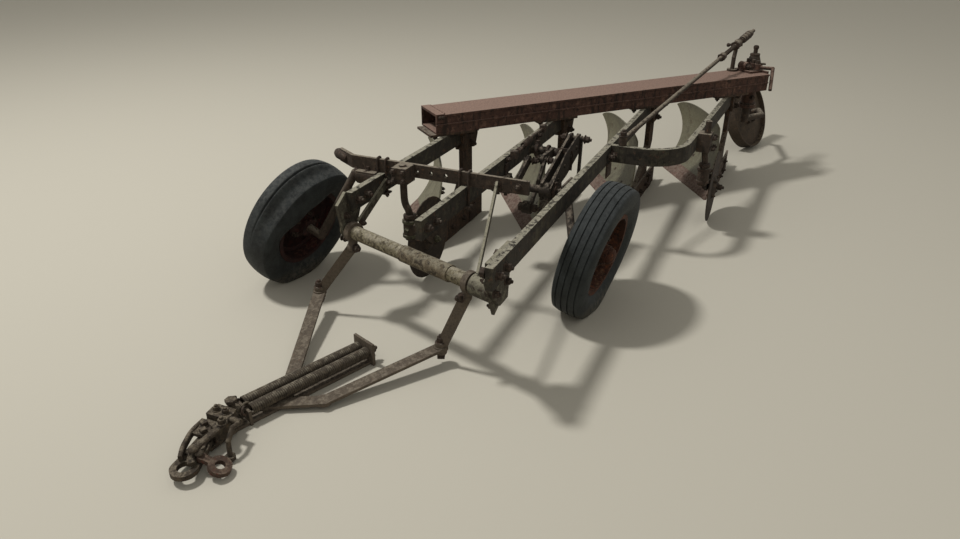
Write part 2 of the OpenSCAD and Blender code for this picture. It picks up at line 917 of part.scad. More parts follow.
module hitch_head() {
    top = 60;
    color(RUST)
        head_frame() {
            translate([0, 0, 2])
                cylinder(d = 24, h = 108);
            translate([0, 0, top + 40])
                cylinder(d = 42, h = 12, $fn = 6);
            for (z = [14 + seat, top])
                translate([0, 0, z])
                    linear_extrude(12)
                        union() {
                            circle(r = 28);
                            polygon([[0, -27], [42, -46], [156, -34], [156, 34], [42, 46], [0, 27]]);
                        }
            for (k = [-1, 1])
                translate([0, 0, 14 + seat])
                    linear_extrude(50)
                        polygon([[50, 45 * k], [128, 36.5 * k], [128, 27 * k], [50, 33 * k]]);
            translate([0, 0, top + 11])
                linear_extrude(24)
                    difference() {
                        polygon([[20, -38], [42, -46], [78, -42], [78, 42], [42, 46], [20, 38]]);
                        for (y = [-20, 20])
                            translate([50, y])
                                circle(r = 9);
                    }
        }
}

loop_x = 272;
loop_y = 34;
loop_z = 26 + 2 * seat;
loop_t = 18;
module hitch_loop() {
    color(RUST)
        head_frame()
            translate([loop_x, loop_y, loop_z])
                difference() {
                    hull() {
                        cylinder(r = 46, h = loop_t);
                        translate([140 - loop_x, -loop_y, 0])
                            cylinder(r = 26, h = loop_t);
                    }
                    translate([0, 0, -10])
                        cylinder(r = hitch_hole_r, h = 60);
                }
}

// A ring link pinned on the loop, lying down beside it
module eye_link() {
    pin = [loop_x - 46, loop_y + 26, loop_z + loop_t + seat];
    color(RUST)
        head_frame()
            translate(pin) {
                cylinder(d = 16, h = 26);
                translate([0, 6, 13])
                    rotate([0, 0, 100])
                        rotate([0, 22, 0])
                            difference() {
                                union() {
                                    cylinder(r = 15, h = 16, center = true);
                                    translate([66, 0, 0])
                                        cylinder(r = 38, h = 18, center = true);
                                    translate([0, -13, -8])
                                        cube([50, 26, 16]);
                                }
                                translate([66, 0, 0])
                                    cylinder(r = 17, h = 40, center = true);
                            }
            }
}

// The lever that frees the latch, on a boss at the head's land side
module latch_lever() {
    boss = [60, 46 + seat, 83];
    color(RUST)
        head_frame() {
            along_y(boss)
                cylinder(d = 24, h = 44);
            bent_bar([boss + [0, 38, 0], [104, 94, 96], [142, 104, 70], [152, 112, 22]], 17);
            translate([152, 112, 8])
                cylinder(d = 34, h = 14);
        }
}

to_origin() {
    beam_a();
    beam_b();
    beam_c();
    beam_d();
    overhead_beam();
    standard_castings();
    standard_1();
    standard_2();
    standard_3();
    standard_4();
    mouldboard_1();
    mouldboard_2();
    mouldboard_3();
    mouldboard_4();
    share_1();
    share_2();
    share_3();
    share_4();
    landside_1();
    landside_2();
    landside_3();
    landside_4();
    cross_bar();
    front_tube();
    front_brackets();
    struts();
    crank_bearings();
    lift_shaft();
    coulter_clamps();
    coulter_shanks();
    adjusting_screw();
    rear_column();
    furrow_crank();
    furrow_rim();
    furrow_tyre();
    land_crank();
    lift_lever();
    land_rim();
    land_tyre();
    rear_axle_arm();
    rear_wheel();
    coulter_yoke_1();
    coulter_disc_1();
    coulter_yoke_4();
    coulter_disc_4();
    drawbar();
    draft_bar();
    release_springs();
    hitch_head();
    hitch_loop();
    eye_link();
    latch_lever();
}
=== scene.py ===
import bmesh
import bpy
import math
import numpy as np
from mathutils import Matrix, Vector


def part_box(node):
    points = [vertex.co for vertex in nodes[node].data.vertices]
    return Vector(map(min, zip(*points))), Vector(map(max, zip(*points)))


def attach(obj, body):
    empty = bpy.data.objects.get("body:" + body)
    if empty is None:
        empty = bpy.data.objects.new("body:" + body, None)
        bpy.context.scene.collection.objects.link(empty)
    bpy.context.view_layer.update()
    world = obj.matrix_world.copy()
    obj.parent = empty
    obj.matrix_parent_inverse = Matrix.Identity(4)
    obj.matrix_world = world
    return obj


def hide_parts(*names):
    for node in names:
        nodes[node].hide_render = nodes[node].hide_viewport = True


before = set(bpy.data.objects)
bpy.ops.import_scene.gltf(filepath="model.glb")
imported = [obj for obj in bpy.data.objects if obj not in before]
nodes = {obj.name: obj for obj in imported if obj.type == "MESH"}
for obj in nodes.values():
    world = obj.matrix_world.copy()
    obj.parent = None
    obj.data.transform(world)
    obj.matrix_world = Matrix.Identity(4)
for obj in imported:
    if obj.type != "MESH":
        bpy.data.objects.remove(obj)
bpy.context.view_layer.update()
scene = bpy.context.scene
scene.view_settings.view_transform = "Standard"

# The plough's own datum: a point on the ground under the second bottom's beam. Places below are
# given in millimetres from it, as the works drawing would, and datum turns them to the frame's. The
# bottoms stand spacing_x apart along the plough and spacing_y across it.
spacing_x, spacing_y = 480, 405
beam_fronts = (1165, 1307, 1560)
beam_low, beam_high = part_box("beam_a")
datum = np.array([beam_high.x * 1000 - beam_fronts[0], (beam_low.y + beam_high.y) * 500 + spacing_y, 0.0])
bottoms = [np.array([250 - spacing_x * k, spacing_y * (k - 1), 0.0]) for k in range(4)]
# Directions: x runs ahead and y to the land side
AHEAD, LEFT, RIGHT, UP, DOWN = (1, 0, 0), (0, 1, 0), (0, -1, 0), (0, 0, 1), (0, 0, -1)


# Yard, light and camera. A pale dry yard under an even sky, with the sun high over the furrow side.
# The camera stands where the photographer stood, ahead of the hitch at a standing person's eye level.
def hex_linear(code):
    """sRGB hex to linear: each channel c is c/12.92 below 0.04045, else ((c+0.055)/1.055)^2.4."""
    c = np.array([int(code[i:i + 2], 16) / 255 for i in (1, 3, 5)])
    return (*np.where(c <= 0.04045, c / 12.92, ((c + 0.055) / 1.055) ** 2.4).tolist(), 1.0)


def add(tree, kind, inputs=None, **settings):
    """Adds one node, sets its properties and fills its inputs with values or other nodes' outputs."""
    node = tree.nodes.new(kind)
    for key, value in settings.items():
        setattr(node, key, value)
    for key, value in (inputs or {}).items():
        if isinstance(value, bpy.types.NodeSocket):
            tree.links.new(value, node.inputs[key])
        else:
            node.inputs[key].default_value = value
    return node


def blank(name):
    """A new material and its node tree, with nothing in it."""
    material = bpy.data.materials.new(name)
    material.use_nodes = True
    material.node_tree.nodes.clear()
    return material, material.node_tree


yard_mesh = bpy.data.meshes.new("yard")
yard_mesh.from_pydata([(-40, -40, 0), (40, -40, 0), (40, 40, 0), (-40, 40, 0)], [], [(0, 1, 2, 3)])
yard = bpy.data.objects.new("yard", yard_mesh)
scene.collection.objects.link(yard)
# Dry crushed stone, pale and matt
stone, tree = blank("pale_dry_stone")
shader = add(tree, "ShaderNodeBsdfPrincipled", {"Base Color": hex_linear("#c8c2b2"), "Roughness": 0.9,
                                               "Specular IOR Level": 0.2})
add(tree, "ShaderNodeOutputMaterial", {"Surface": shader.outputs[0]})
yard_mesh.materials.append(stone)

world = bpy.data.worlds.new("even_sky")
scene.world = world
world.use_nodes = True
tree = world.node_tree
tree.nodes.clear()
rays = add(tree, "ShaderNodeLightPath")
seen = add(tree, "ShaderNodeMath", {0: rays.outputs["Is Camera Ray"], 1: rays.outputs["Is Glossy Ray"]},
           operation="ADD", use_clamp=True)
seen = add(tree, "ShaderNodeMath", {0: seen.outputs[0], 1: rays.outputs["Is Transmission Ray"]},
           operation="ADD", use_clamp=True)
strength = add(tree, "ShaderNodeMapRange", {"Value": seen.outputs[0], "To Min": 0.38, "To Max": 0.75})
sky = add(tree, "ShaderNodeBackground", {"Color": hex_linear("#f1f0ec"), "Strength": strength.outputs[0]})
add(tree, "ShaderNodeOutputWorld", {"Surface": sky.outputs[0]})


def soft_box(name, place, target, size, watts):
    """A round area lamp at place, size metres wide, whose -z axis is turned along target - place."""
    lamp = bpy.data.lights.new(name, "AREA")
    lamp.shape = "DISK"
    lamp.size = size
    lamp.energy = watts
    ob = bpy.data.objects.new(name, lamp)
    scene.collection.objects.link(ob)
    ob.location = place
    ob.rotation_euler = (Vector(target) - Vector(place)).to_track_quat("-Z", "Y").to_euler()


soft_box("key", (1.8, -3.9, 8.2), (0, 0, 0.3), 1.0, 500)
soft_box("fill", (5.0, 4.5, 5.5), (0, 0, 0.3), 5.0, 28)

lens = bpy.data.cameras.new("photographer")
lens.lens = 27
lens.sensor_width = 36
camera = bpy.data.objects.new("photographer", lens)
scene.collection.objects.link(camera)
camera.location = (np.array([3500, 1250, 1652]) + datum) / 1000
heading, pitch = math.radians(204.33), math.radians(27.17)
look = Vector((math.cos(heading) * math.cos(pitch), math.sin(heading) * math.cos(pitch), -math.sin(pitch)))
camera.rotation_euler = look.to_track_quat("-Z", "Y").to_euler()
scene.camera = camera


# Beams. Four flat steel beams on edge, bolted to what they carry. Their dark olive paint is matt with
# age; lichen and dust have settled on the upper edges, and rust comes through along the sides.
def mix(tree, factor, a, b):
    """A colour between a and b; each is a hex code or another node's colour."""
    node = tree.nodes.new("ShaderNodeMix")
    node.data_type = "RGBA"
    tree.links.new(factor, node.inputs["Factor"])
    for socket, value in zip([s for s in node.inputs if s.type == "RGBA"], (a, b)):
        if isinstance(value, str):
            socket.default_value = hex_linear(value)
        else:
            tree.links.new(value, socket)
    return [s for s in node.outputs if s.type == "RGBA"][0]


def weathered(name, base, patches, top=None, run=None, rough=0.85, grain_mm=4.0, grain_depth_mm=0.6):
    """Old painted or rusted steel. Each patch (colour, size in mm, share of the surface, softness) lies
    over the base where a noise of that size passes a threshold; run is the same, drawn out downwards as
    rain does; top (colour, share) is dust or lichen where the surface looks up; a fine mottle is darker,
    undersides are darkened as painted shade, and two sizes of pits stand in relief."""
    material, tree = blank(name)
    place = add(tree, "ShaderNodeTexCoord").outputs["Object"]
    colour = base
    layers = [(p, (1, 1, 1)) for p in patches] + ([(run, (1, 1, 0.12))] if run else [])
    for (code, size_mm, share, soft), stretch in layers:
        drawn = add(tree, "ShaderNodeVectorMath", {0: place, 1: stretch}, operation="MULTIPLY")
        noise = add(tree, "ShaderNodeTexNoise", {"Vector": drawn.outputs[0], "Scale": 1000 / size_mm,
                                                 "Detail": 7.0, "Roughness": 0.68})
        start = 0.7 - 0.4 * share
        mask = add(tree, "ShaderNodeMapRange", {"Value": noise.outputs["Fac"], "From Min": start,
                                                "From Max": start + soft})
        colour = mix(tree, mask.outputs[0], colour, code)
    normal = add(tree, "ShaderNodeNewGeometry").outputs["Normal"]
    height = add(tree, "ShaderNodeSeparateXYZ", {"Vector": normal}).outputs["Z"]
    speck = add(tree, "ShaderNodeTexNoise", {"Vector": place, "Scale": 1000 / 24, "Detail": 9.0,
                                             "Roughness": 0.75})
    if top:
        lift = add(tree, "ShaderNodeMapRange", {"Value": height, "From Min": 0.3, "From Max": 0.9})
        start = 0.64 - 0.3 * top[1]
        crust = add(tree, "ShaderNodeMapRange", {"Value": speck.outputs["Fac"], "From Min": start,
                                                 "From Max": start + 0.06})
        mask = add(tree, "ShaderNodeMath", {0: lift.outputs[0], 1: crust.outputs[0]}, operation="MULTIPLY")
        colour = mix(tree, mask.outputs[0], colour, top[0])
    mottle = add(tree, "ShaderNodeTexNoise", {"Vector": place, "Scale": 1000 / 9, "Detail": 5.0,
                                              "Roughness": 0.7})
    dark = add(tree, "ShaderNodeMapRange", {"Value": mottle.outputs["Fac"], "From Min": 0.35,
                                            "From Max": 0.65, "To Min": 0.45, "To Max": 0.0})
    colour = mix(tree, dark.outputs[0], colour, "#1d1915")
    # Painted shade: faces that look down are darkened towards #1a1612, up to half, as if shaded from above
    underside_shade = add(tree, "ShaderNodeMapRange", {"Value": height, "From Min": -0.2, "From Max": -0.8,
                                             "To Max": 0.5})
    colour = mix(tree, underside_shade.outputs[0], colour, "#1a1612")
    grain = add(tree, "ShaderNodeTexNoise", {"Vector": place, "Scale": 1000 / grain_mm, "Detail": 4.0})
    pits = add(tree, "ShaderNodeMath", {0: grain.outputs["Fac"], 1: mottle.outputs["Fac"]}, operation="ADD")
    relief = add(tree, "ShaderNodeBump", {"Height": pits.outputs[0], "Distance": grain_depth_mm / 1000,
                                          "Strength": 1.0})
    shader = add(tree, "ShaderNodeBsdfPrincipled", {"Base Color": colour, "Roughness": rough,
                                                   "Normal": relief.outputs[0], "Specular IOR Level": 0.3})
    add(tree, "ShaderNodeOutputMaterial", {"Surface": shader.outputs[0]})
    return material


def dress(material, *names):
    """Gives every face of the named nodes one material."""
    for name in names:
        mesh = nodes[name].data
        mesh.materials.clear()
        mesh.materials.append(material)
        mesh.polygons.foreach_set("material_index", [0] * len(mesh.polygons))


def axes(origin, z, x=(0.0, 0.0, 1.0)):
    """A local system at origin whose z runs along z; x is turned square to it."""
    z = np.array(z, float) / np.linalg.norm(z)
    x = np.array(x, float)
    if abs(x @ z) > 0.98 * np.linalg.norm(x):
        x = np.array([1.0, 0.0, 0.0]) if abs(z[0]) < 0.9 else np.array([0.0, 1.0, 0.0])
    x = x - (x @ z) * z
    x /= np.linalg.norm(x)
    return np.array(origin, float), np.stack([x, np.cross(z, x), z])


def out_of(local, points):
    """Local millimetres to millimetres from the datum."""
    return local[0] + np.asarray(points, float) @ local[1]


def sheet(points, close_u=False, close_v=False, cap=False):
    """A grid of points in millimetres from the datum as a surface of quads; a direction may close, and
    cap fills a closed ring at either end by one face."""
    n, m = points.shape[:2]
    i, j = np.arange(n if close_u else n - 1), np.arange(m if close_v else m - 1)
    a, b = np.meshgrid(i, j, indexing="ij")
    c, d = (a + 1) % n, (b + 1) % m
    faces = np.stack([a * m + b, c * m + b, c * m + d, a * m + d], -1).reshape(-1, 4).tolist()
    if cap:
        faces += [list(range(m)), list(range((n - 1) * m, n * m))]
    return points.reshape(-1, 3), faces


def turned(profile, local, sides=32, start=0.0):
    """A surface of revolution: (radius, height) pairs turned about the local z."""
    r, h = np.array(profile, float).T
    a = start + np.arange(sides) * 2 * np.pi / sides
    ring = np.stack([r[:, None] * np.cos(a), r[:, None] * np.sin(a), np.repeat(h[:, None], sides, 1)], -1)
    return sheet(out_of(local, ring), close_v=True, cap=True)


def slab(outline, low, high, local, edge=1.5):
    """A flat plate: the outline, anticlockwise, from low to high along the local z, its edges broken by
    edge. Each corner moves in along the sum of its two sides' normals."""
    o = np.array(outline, float)
    a = o - np.roll(o, 1, 0)
    b = np.roll(o, -1, 0) - o
    a, b = [np.stack([v[:, 1], -v[:, 0]], -1) / np.linalg.norm(v, axis=1, keepdims=True) for v in (a, b)]
    mitre = (a + b) / (1 + (a * b).sum(1, keepdims=True))
    rings = [(o - edge * mitre, low), (o, low + edge), (o, high - edge), (o - edge * mitre, high)]
    grid = np.stack([np.column_stack([r, np.full(len(r), z)]) for r, z in rings])
    return sheet(out_of(local, grid), close_v=True, cap=True)


def round_section(d, sides=12):
    """A circle's points, d/2 (cos a, sin a), with a in equal steps."""
    a = np.arange(sides) * 2 * np.pi / sides
    return d / 2 * np.stack([np.cos(a), np.sin(a)], -1)


def flat_section(w, t, edge=2.0):
    """A bar's section, w along the side and t over it, with its corners broken."""
    x, y = w / 2, t / 2
    return np.array([(x, -y + edge), (x, y - edge), (x - edge, y), (-x + edge, y),
                     (-x, y - edge), (-x, -y + edge), (-x + edge, -y), (x - edge, -y)])


def bent(points, bend=25.0, steps=5):
    """A path through the corners, each corner rounded by a parabola that starts bend before it."""
    p = np.array(points, float)
    path = [p[:1]]
    s = np.linspace(0, 1, steps)[:, None]
    for a, b, c in zip(p[:-2], p[1:-1], p[2:]):
        start = b + (a - b) * min(bend / np.linalg.norm(a - b), 0.45)
        end = b + (c - b) * min(bend / np.linalg.norm(c - b), 0.45)
        path.append((1 - s) ** 2 * start + 2 * s * (1 - s) * b + s ** 2 * end)
    return np.concatenate(path + [p[-1:]])


def swept(path, section, up=UP, swell=None):
    """A section carried along a path: side is ahead x up, over is side x ahead, and swell scales the
    section at each point."""
    path = np.array(path, float)
    ahead = np.roll(path, -1, 0) - np.roll(path, 1, 0)
    ahead[0], ahead[-1] = path[1] - path[0], path[-1] - path[-2]
    ahead /= np.linalg.norm(ahead, axis=1, keepdims=True)
    side = np.cross(ahead, up)
    side /= np.linalg.norm(side, axis=1, keepdims=True)
    over = np.cross(side, ahead)
    swell = np.ones(len(path)) if swell is None else np.asarray(swell, float)
    ring = section[None, :, :1] * side[:, None] + section[None, :, 1:] * over[:, None]
    return sheet(path[:, None] + swell[:, None, None] * ring, close_v=True, cap=True)


def fastener(place, out, s, kind="nut"):
    """A nut on its washer with the thread's end, a square head or a cup head, s across the flats,
    standing on place and looking along out."""
    local = axes(place, out)
    if kind == "cup":
        dome = [(0.62 * s * math.cos(t), 1 + 0.36 * s * math.sin(t))
                for t in np.linspace(0, np.pi / 2 * 0.93, 5)]
        return [turned([(0.62 * s, 0)] + dome, local, 16)]
    sides, corner = (4, 0.69) if kind == "square" else (6, 0.575)
    r = corner * s
    parts = [turned([(r * 0.93, 1.5), (r, 3), (r, 0.72 * s), (r * 0.88, 0.8 * s)], local, sides, 0.4),
             turned([(0.76 * s, -0.2), (0.76 * s, 2.5), (0.7 * s, 3)], local, 16)]
    if kind == "nut":
        parts.append(turned([(0.29 * s, 0.7 * s), (0.29 * s, 1.08 * s), (0.22 * s, 1.16 * s)], local, 10))
    return parts


def bolted(a, b, s, head="square"):
    """A bolt through from a to b: its head on a, its nut on b."""
    a, b = np.array(a, float), np.array(b, float)
    return fastener(a, a - b, s, head) + fastener(b, b - a, s)


def piece(name, parts, material, body, sharp=35):
    """Joins the parts' surfaces in one mesh whose faces point outwards, smooth except where they meet at
    more than sharp degrees."""
    verts, faces, start = [], [], 0
    for v, f in parts:
        verts.append(v)
        faces += [[k + start for k in face] for face in f]
        start += len(v)
    mesh = bpy.data.meshes.new(name)
    mesh.from_pydata(((np.concatenate(verts) + datum) / 1000).tolist(), [], faces)
    work = bmesh.new()
    work.from_mesh(mesh)
    bmesh.ops.recalc_face_normals(work, faces=work.faces)
    work.to_mesh(mesh)
    work.free()
    mesh.materials.append(material)
    mesh.shade_smooth()
    mesh.set_sharp_from_angle(angle=math.radians(sharp))
    ob = bpy.data.objects.new(name, mesh)
    scene.collection.objects.link(ob)
    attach(ob, body)
    return ob


# Old linseed implement paint on hot-rolled steel: dark, chalky, flaking to brown
dress(weathered("weathered_olive_paint", "#37322a",
                [("#4b4638", 60, 0.45, 0.08), ("#574132", 26, 0.3, 0.06), ("#211e18", 40, 0.45, 0.1)],
                top=("#a09a87", 0.72), run=("#262119", 30, 0.4, 0.08)),
      "beam_a", "beam_b", "beam_c", "beam_d")
# Bolts: machined once, now the same dark brown scale as what they hold
bolt_rust = weathered("dark_bolt_scale", "#3c3128", [("#524034", 16, 0.5, 0.1), ("#261f19", 12, 0.4, 0.1)],
                      top=("#766b5d", 0.4), grain_mm=2.5, grain_depth_mm=0.4)
# From a beam's middle to its own face, and to the face of the front brackets' plate on it
beam_face, plate_face = 14, 28.3
parts = []
for y, front in zip((-spacing_y, 0, spacing_y), beam_fronts):
    for x in (front - 40, front - 110):
        head = y - (plate_face if y else beam_face)
        parts += bolted((x, head, 527.5), (x, y + beam_face, 527.5), 27)
# The rear beam's angle plate against the third beam, with its four bolts
parts += [slab([(0, 0), (78, 0), (78, 70), (0, 70)], 0, 9, axes((82, 419.4, 492), LEFT, AHEAD))]
for x in (100, 142):
    parts += bolted((x, 391, 527), (x, 428.5, 527), 24)
piece("beam_bolts", parts, bolt_rust, "frame")

# Overhead box beam. Folded plate welded to a long box, once red, with two lips along its face and a
# strap over the front end. The paint is a dull red-brown, the top is chalky and pale.
box_paint = weathered("chalky_red_brown_paint", "#5b4136",
                      [("#493229", 90, 0.5, 0.12), ("#7a5b4c", 34, 0.4, 0.07), ("#2f241d", 18, 0.35, 0.06)],
                      top=("#94796a", 1.05), run=("#33271f", 26, 0.45, 0.08))
dress(box_paint, "overhead_beam")
box_dir = math.atan2(spacing_y, -spacing_x)
on_box = axes(bottoms[0], UP, (math.cos(box_dir), math.sin(box_dir), 0))
# From one beam's crossing to the next, along the box
crossing = 628.05
parts = []
for k in range(4):
    for along in (-62, 112):
        for across in (18, 122):
            parts += fastener(out_of(on_box, [crossing * k + along, across, 570]), DOWN, 24)
for along in (-52, -34):
    parts += fastener(out_of(on_box, [along, -31, 668]), -on_box[1][1], 17, "cup")
piece("box_beam_bolts", parts, bolt_rust, "frame")
# Weld beads where the lips and the end strap meet the box
weld = round_section(7, 8)
parts = [swept(out_of(on_box, [(x, -24, z + 1.2 * math.sin(x / 9)) for x in np.arange(-60, 2170, 12)]), weld)
         for z in (626, 671.5)]
parts += [swept(out_of(on_box, [(-22, y, 686 + math.sin(y / 5)) for y in np.arange(-20, 180, 10)]), weld)]
piece("box_beam_welds", parts, box_paint, "frame")

# Castings and standards. Cast clasps grip the beams' rear ends; the forged standards come up into them
# and carry the bottoms. Everything is browned with rust and bolted with square-headed bolts.
dress(weathered("browned_casting", "#453629",
                [("#5c4838", 44, 0.5, 0.1), ("#2c231c", 20, 0.4, 0.08), ("#6b4a35", 14, 0.3, 0.06)],
                top=("#85796a", 0.75), run=("#2e251d", 26, 0.4, 0.08), grain_mm=6, grain_depth_mm=0.9),
      "standard_castings", "standard_1", "standard_2", "standard_3", "standard_4",
      "landside_1", "landside_2", "landside_3", "landside_4")
parts = []
for x, y, _ in bottoms:
    for dx, z, s in ((-250, 540, 30), (-184, 540, 30), (-217, 466, 30)):
        parts += bolted((x + dx, y - 30.5, z), (x + dx, y + 30.5, z), s)
    # the frog's bolts through standard and landside
    for dx, z in ((150, 48), (20, 62), (-120, 60), (-160, 108)):
        parts += bolted((x + dx, y - 13.5, z), (x + dx, y + 26, z), 22, "cup")
    # raised boss round the standard's lower bolt and the heel of the landside
    parts += [slab([(-92, 0), (0, 0), (0, 86), (-70, 86)], 0, 8,
                   axes((x - 284, y + 26, 8), LEFT, (-1, 0, 0)))]
piece("casting_bolts", parts, bolt_rust, "frame")

# Mouldboards. Soft-centre steel, pressed to a twist and once scoured bright by the soil. Out of work
# for years they are dull olive-grey with an even brown bloom, their plough bolts flush in the face.
board_patches = [("#8a8570", 140, 0.5, 0.25), ("#5c523f", 46, 0.4, 0.12), ("#6d5a44", 18, 0.25, 0.08)]
board_steel = weathered("dulled_soil_steel", "#747059", board_patches, run=("#5f5946", 60, 0.45, 0.12),
                        rough=0.55, grain_depth_mm=0.25)
# Columns: foot x, foot y, top x, top y, top z over the board's height, hollow
sections = np.array([[240, -1, 52, -14, -10, 12], [70, -116, -118, -128, 12, 52],
                     [-100, -231, -292, -242, 14, 66], [-270, -346, -470, -372, -12, 62]], float)
board_foot, board_top, board_t = 62.5, 415.0, 8.0


def board_surface(u, v, back):
    """A mouldboard: each section from shin to wing is a line from foot to top, pushed back by its
    hollow times 4v(1-v); a cubic runs through the four listed sections, and the wing's upper corner
    and the shin's are rounded by drawing the top edge down by 26(u^10 + (1-u)^14)."""
    s = 3 * u
    basis = np.stack([np.prod([(s - j) / (i - j) for j in range(4) if j != i], axis=0) for i in range(4)], -1)
    col = basis @ sections
    top_z = board_top + col[..., 4] - 26 * (u ** 10 + (1 - u) ** 14)
    hollow = col[..., 5] * 4 * v * (1 - v) + back
    return np.stack([col[..., 0] * (1 - v) + col[..., 2] * v - 0.5 * hollow,
                     col[..., 1] * (1 - v) + col[..., 3] * v + 0.866 * hollow,
                     board_foot * (1 - v) + top_z * v], -1)


u, v = np.meshgrid(np.linspace(0, 1, 41), np.linspace(0, 1, 21), indexing="ij")
front, rear = board_surface(u, v, 0.0), board_surface(u, v, board_t)
shell = np.concatenate([front, rear[:, ::-1]], 1)
board_bolts = []
for k, move in enumerate(bottoms):
    ob = piece(f"board_{k + 1}", [sheet(shell + move, close_v=True, cap=True)], board_steel, "frame",
               40)
    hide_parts(f"mouldboard_{k + 1}")
    for bu, bv in ((0.07, 0.22), (0.1, 0.6), (0.3, 0.14), (0.33, 0.5), (0.58, 0.2)):
        spot = board_surface(np.array(bu), np.array(bv), 0.0)
        du = board_surface(np.array(bu + 0.01), np.array(bv), 0.0) - spot
        dv = board_surface(np.array(bu), np.array(bv + 0.01), 0.0) - spot
        out = np.cross(dv, du)
        out = out if out @ np.array([0.5, -0.866, 0]) > 0 else -out
        local = axes(spot + move, out)
        board_bolts.append(turned([(10, -1), (10, 0.6), (8.5, 1.1)], local, 16))
        board_bolts += fastener(out_of(local, [0, 0, -board_t - 0.2]), -out, 17)
piece("board_bolts", board_bolts, bolt_rust, "frame")

# Shares. Cast shares bolted along the boards' lower edges; the wearing faces are a pinkish brown with
# light rust, and dusty where they look up.
dress(weathered("pinkish_share_rust", "#6d564b", [("#84695d", 70, 0.5, 0.15), ("#4b3a31", 30, 0.4, 0.08)],
                top=("#8d7b6d", 0.6)), "share_1", "share_2", "share_3", "share_4")

# Front of the frame. A drilled flat bar lies across the beams, held down by hook bolts; below it a
# mottled tube carries the drawbar in plate brackets, and two flat struts steady them.
bar_rust = weathered("grey_brown_bar_rust", "#43382e",
                     [("#5a4b3e", 45, 0.45, 0.1), ("#2b241d", 18, 0.4, 0.07), ("#6a4c38", 16, 0.25, 0.06)],
                     top=("#8c8170", 0.75), run=("#30281f", 24, 0.35, 0.08))
dress(bar_rust, "cross_bar", "crank_bearings", "coulter_clamps", "furrow_crank", "rear_axle_arm",
      "adjusting_screw")
# The struts and brackets are paler with lichen and dust; the lifting gear is dark with old grease
dress(weathered("lichened_steel", "#4d483d", [("#706c5b", 30, 0.5, 0.08), ("#3b3127", 22, 0.4, 0.08)],
                top=("#9a947f", 0.9)), "struts", "front_brackets")
greased = weathered("greased_dark_rust", "#332b23",
                    [("#463b30", 30, 0.45, 0.1), ("#1f1a15", 18, 0.45, 0.08)], top=("#7d7263", 0.55))
dress(greased, "lift_shaft", "land_crank", "lift_lever")
parts = []
for y in (-spacing_y, 0):
    # one hook bolt on either side of the beam: over the bar, down the side and through a strap below
    for bolt_y in (y - 21, y + 21):
        hook = [(900, bolt_y, 476), (900, bolt_y, 634), (872, bolt_y, 636), (871, bolt_y, 600)]
        parts += [swept(bent(hook, 9), round_section(11, 10), LEFT)]
        parts += fastener((900, bolt_y, 480), DOWN, 18)
    parts += [slab([(-22, -33), (22, -33), (22, 33), (-22, 33)], 0, 9, axes((900, y, 475.5), UP, AHEAD))]
# the bar's rounded outer end and its two blind bolts
bar_end = [(864, -603), (859, -612), (836, -652), (820, -680), (812, -694), (808, -701)]
parts += [swept([(x, y, 600) for x, y in bar_end], round_section(52, 24), swell=[0.62, 0.9, 1, 1, 0.82, 0.4])]
for y in (150, 245):
    parts += bolted((879, y, 600), (895, y, 600), 22)
# the struts' bolts and those of the bracket plates
for x, z in ((900, 529), (1130, 425)):
    parts += fastener((x, -378.5, z), LEFT, 22)
for x, z in ((1150, 372), (1200, 372), (1180, 470)):
    parts += bolted((x, -433.5, z), (x, -419, z), 20, "cup")
for x, z in ((1372, 430), (1480, 430), (1400, 545), (1380, 500)):
    parts += bolted((x, 376.5, z), (x, 390.6, z), 24)
for x, z in ((1492, 480), (1433, 348)):
    parts += fastener((x, 366, z), RIGHT, 20)
piece("front_bolts", parts, bolt_rust, "frame")

dress(weathered("scabbed_tan_paint", "#756c55",
                [("#948b72", 30, 0.5, 0.06), ("#4e4534", 26, 0.45, 0.06), ("#372f23", 12, 0.35, 0.06)],
                top=("#a49b86", 0.6), grain_mm=7, grain_depth_mm=1.4), "front_tube")
tube_a, tube_b = np.array([1164.5, -438, 400.0]), np.array([1400, 300, 400.0])
tube_run = tube_b - tube_a
tube_local = axes(tube_a, tube_run)
# A worn sleeve over part of its length, and the plug in its outer end
low, high = np.linalg.norm(tube_run) * np.array([0.47, 0.81])
parts = [turned([(30.4, low), (34, low + 1.5), (34, high), (30.4, high + 1.5)], tube_local, 48),
         turned([(12, -1.5), (29, -1.5), (30.2, 2), (29, 3)], tube_local, 32)]
sleeve_paint = weathered("scabbed_brown_sleeve", "#665a47",
                         [("#837862", 26, 0.5, 0.06), ("#40372b", 20, 0.45, 0.06)],
                         top=("#8f8671", 0.6), grain_mm=7, grain_depth_mm=1.4)
piece("tube_sleeve", parts, sleeve_paint, "frame")

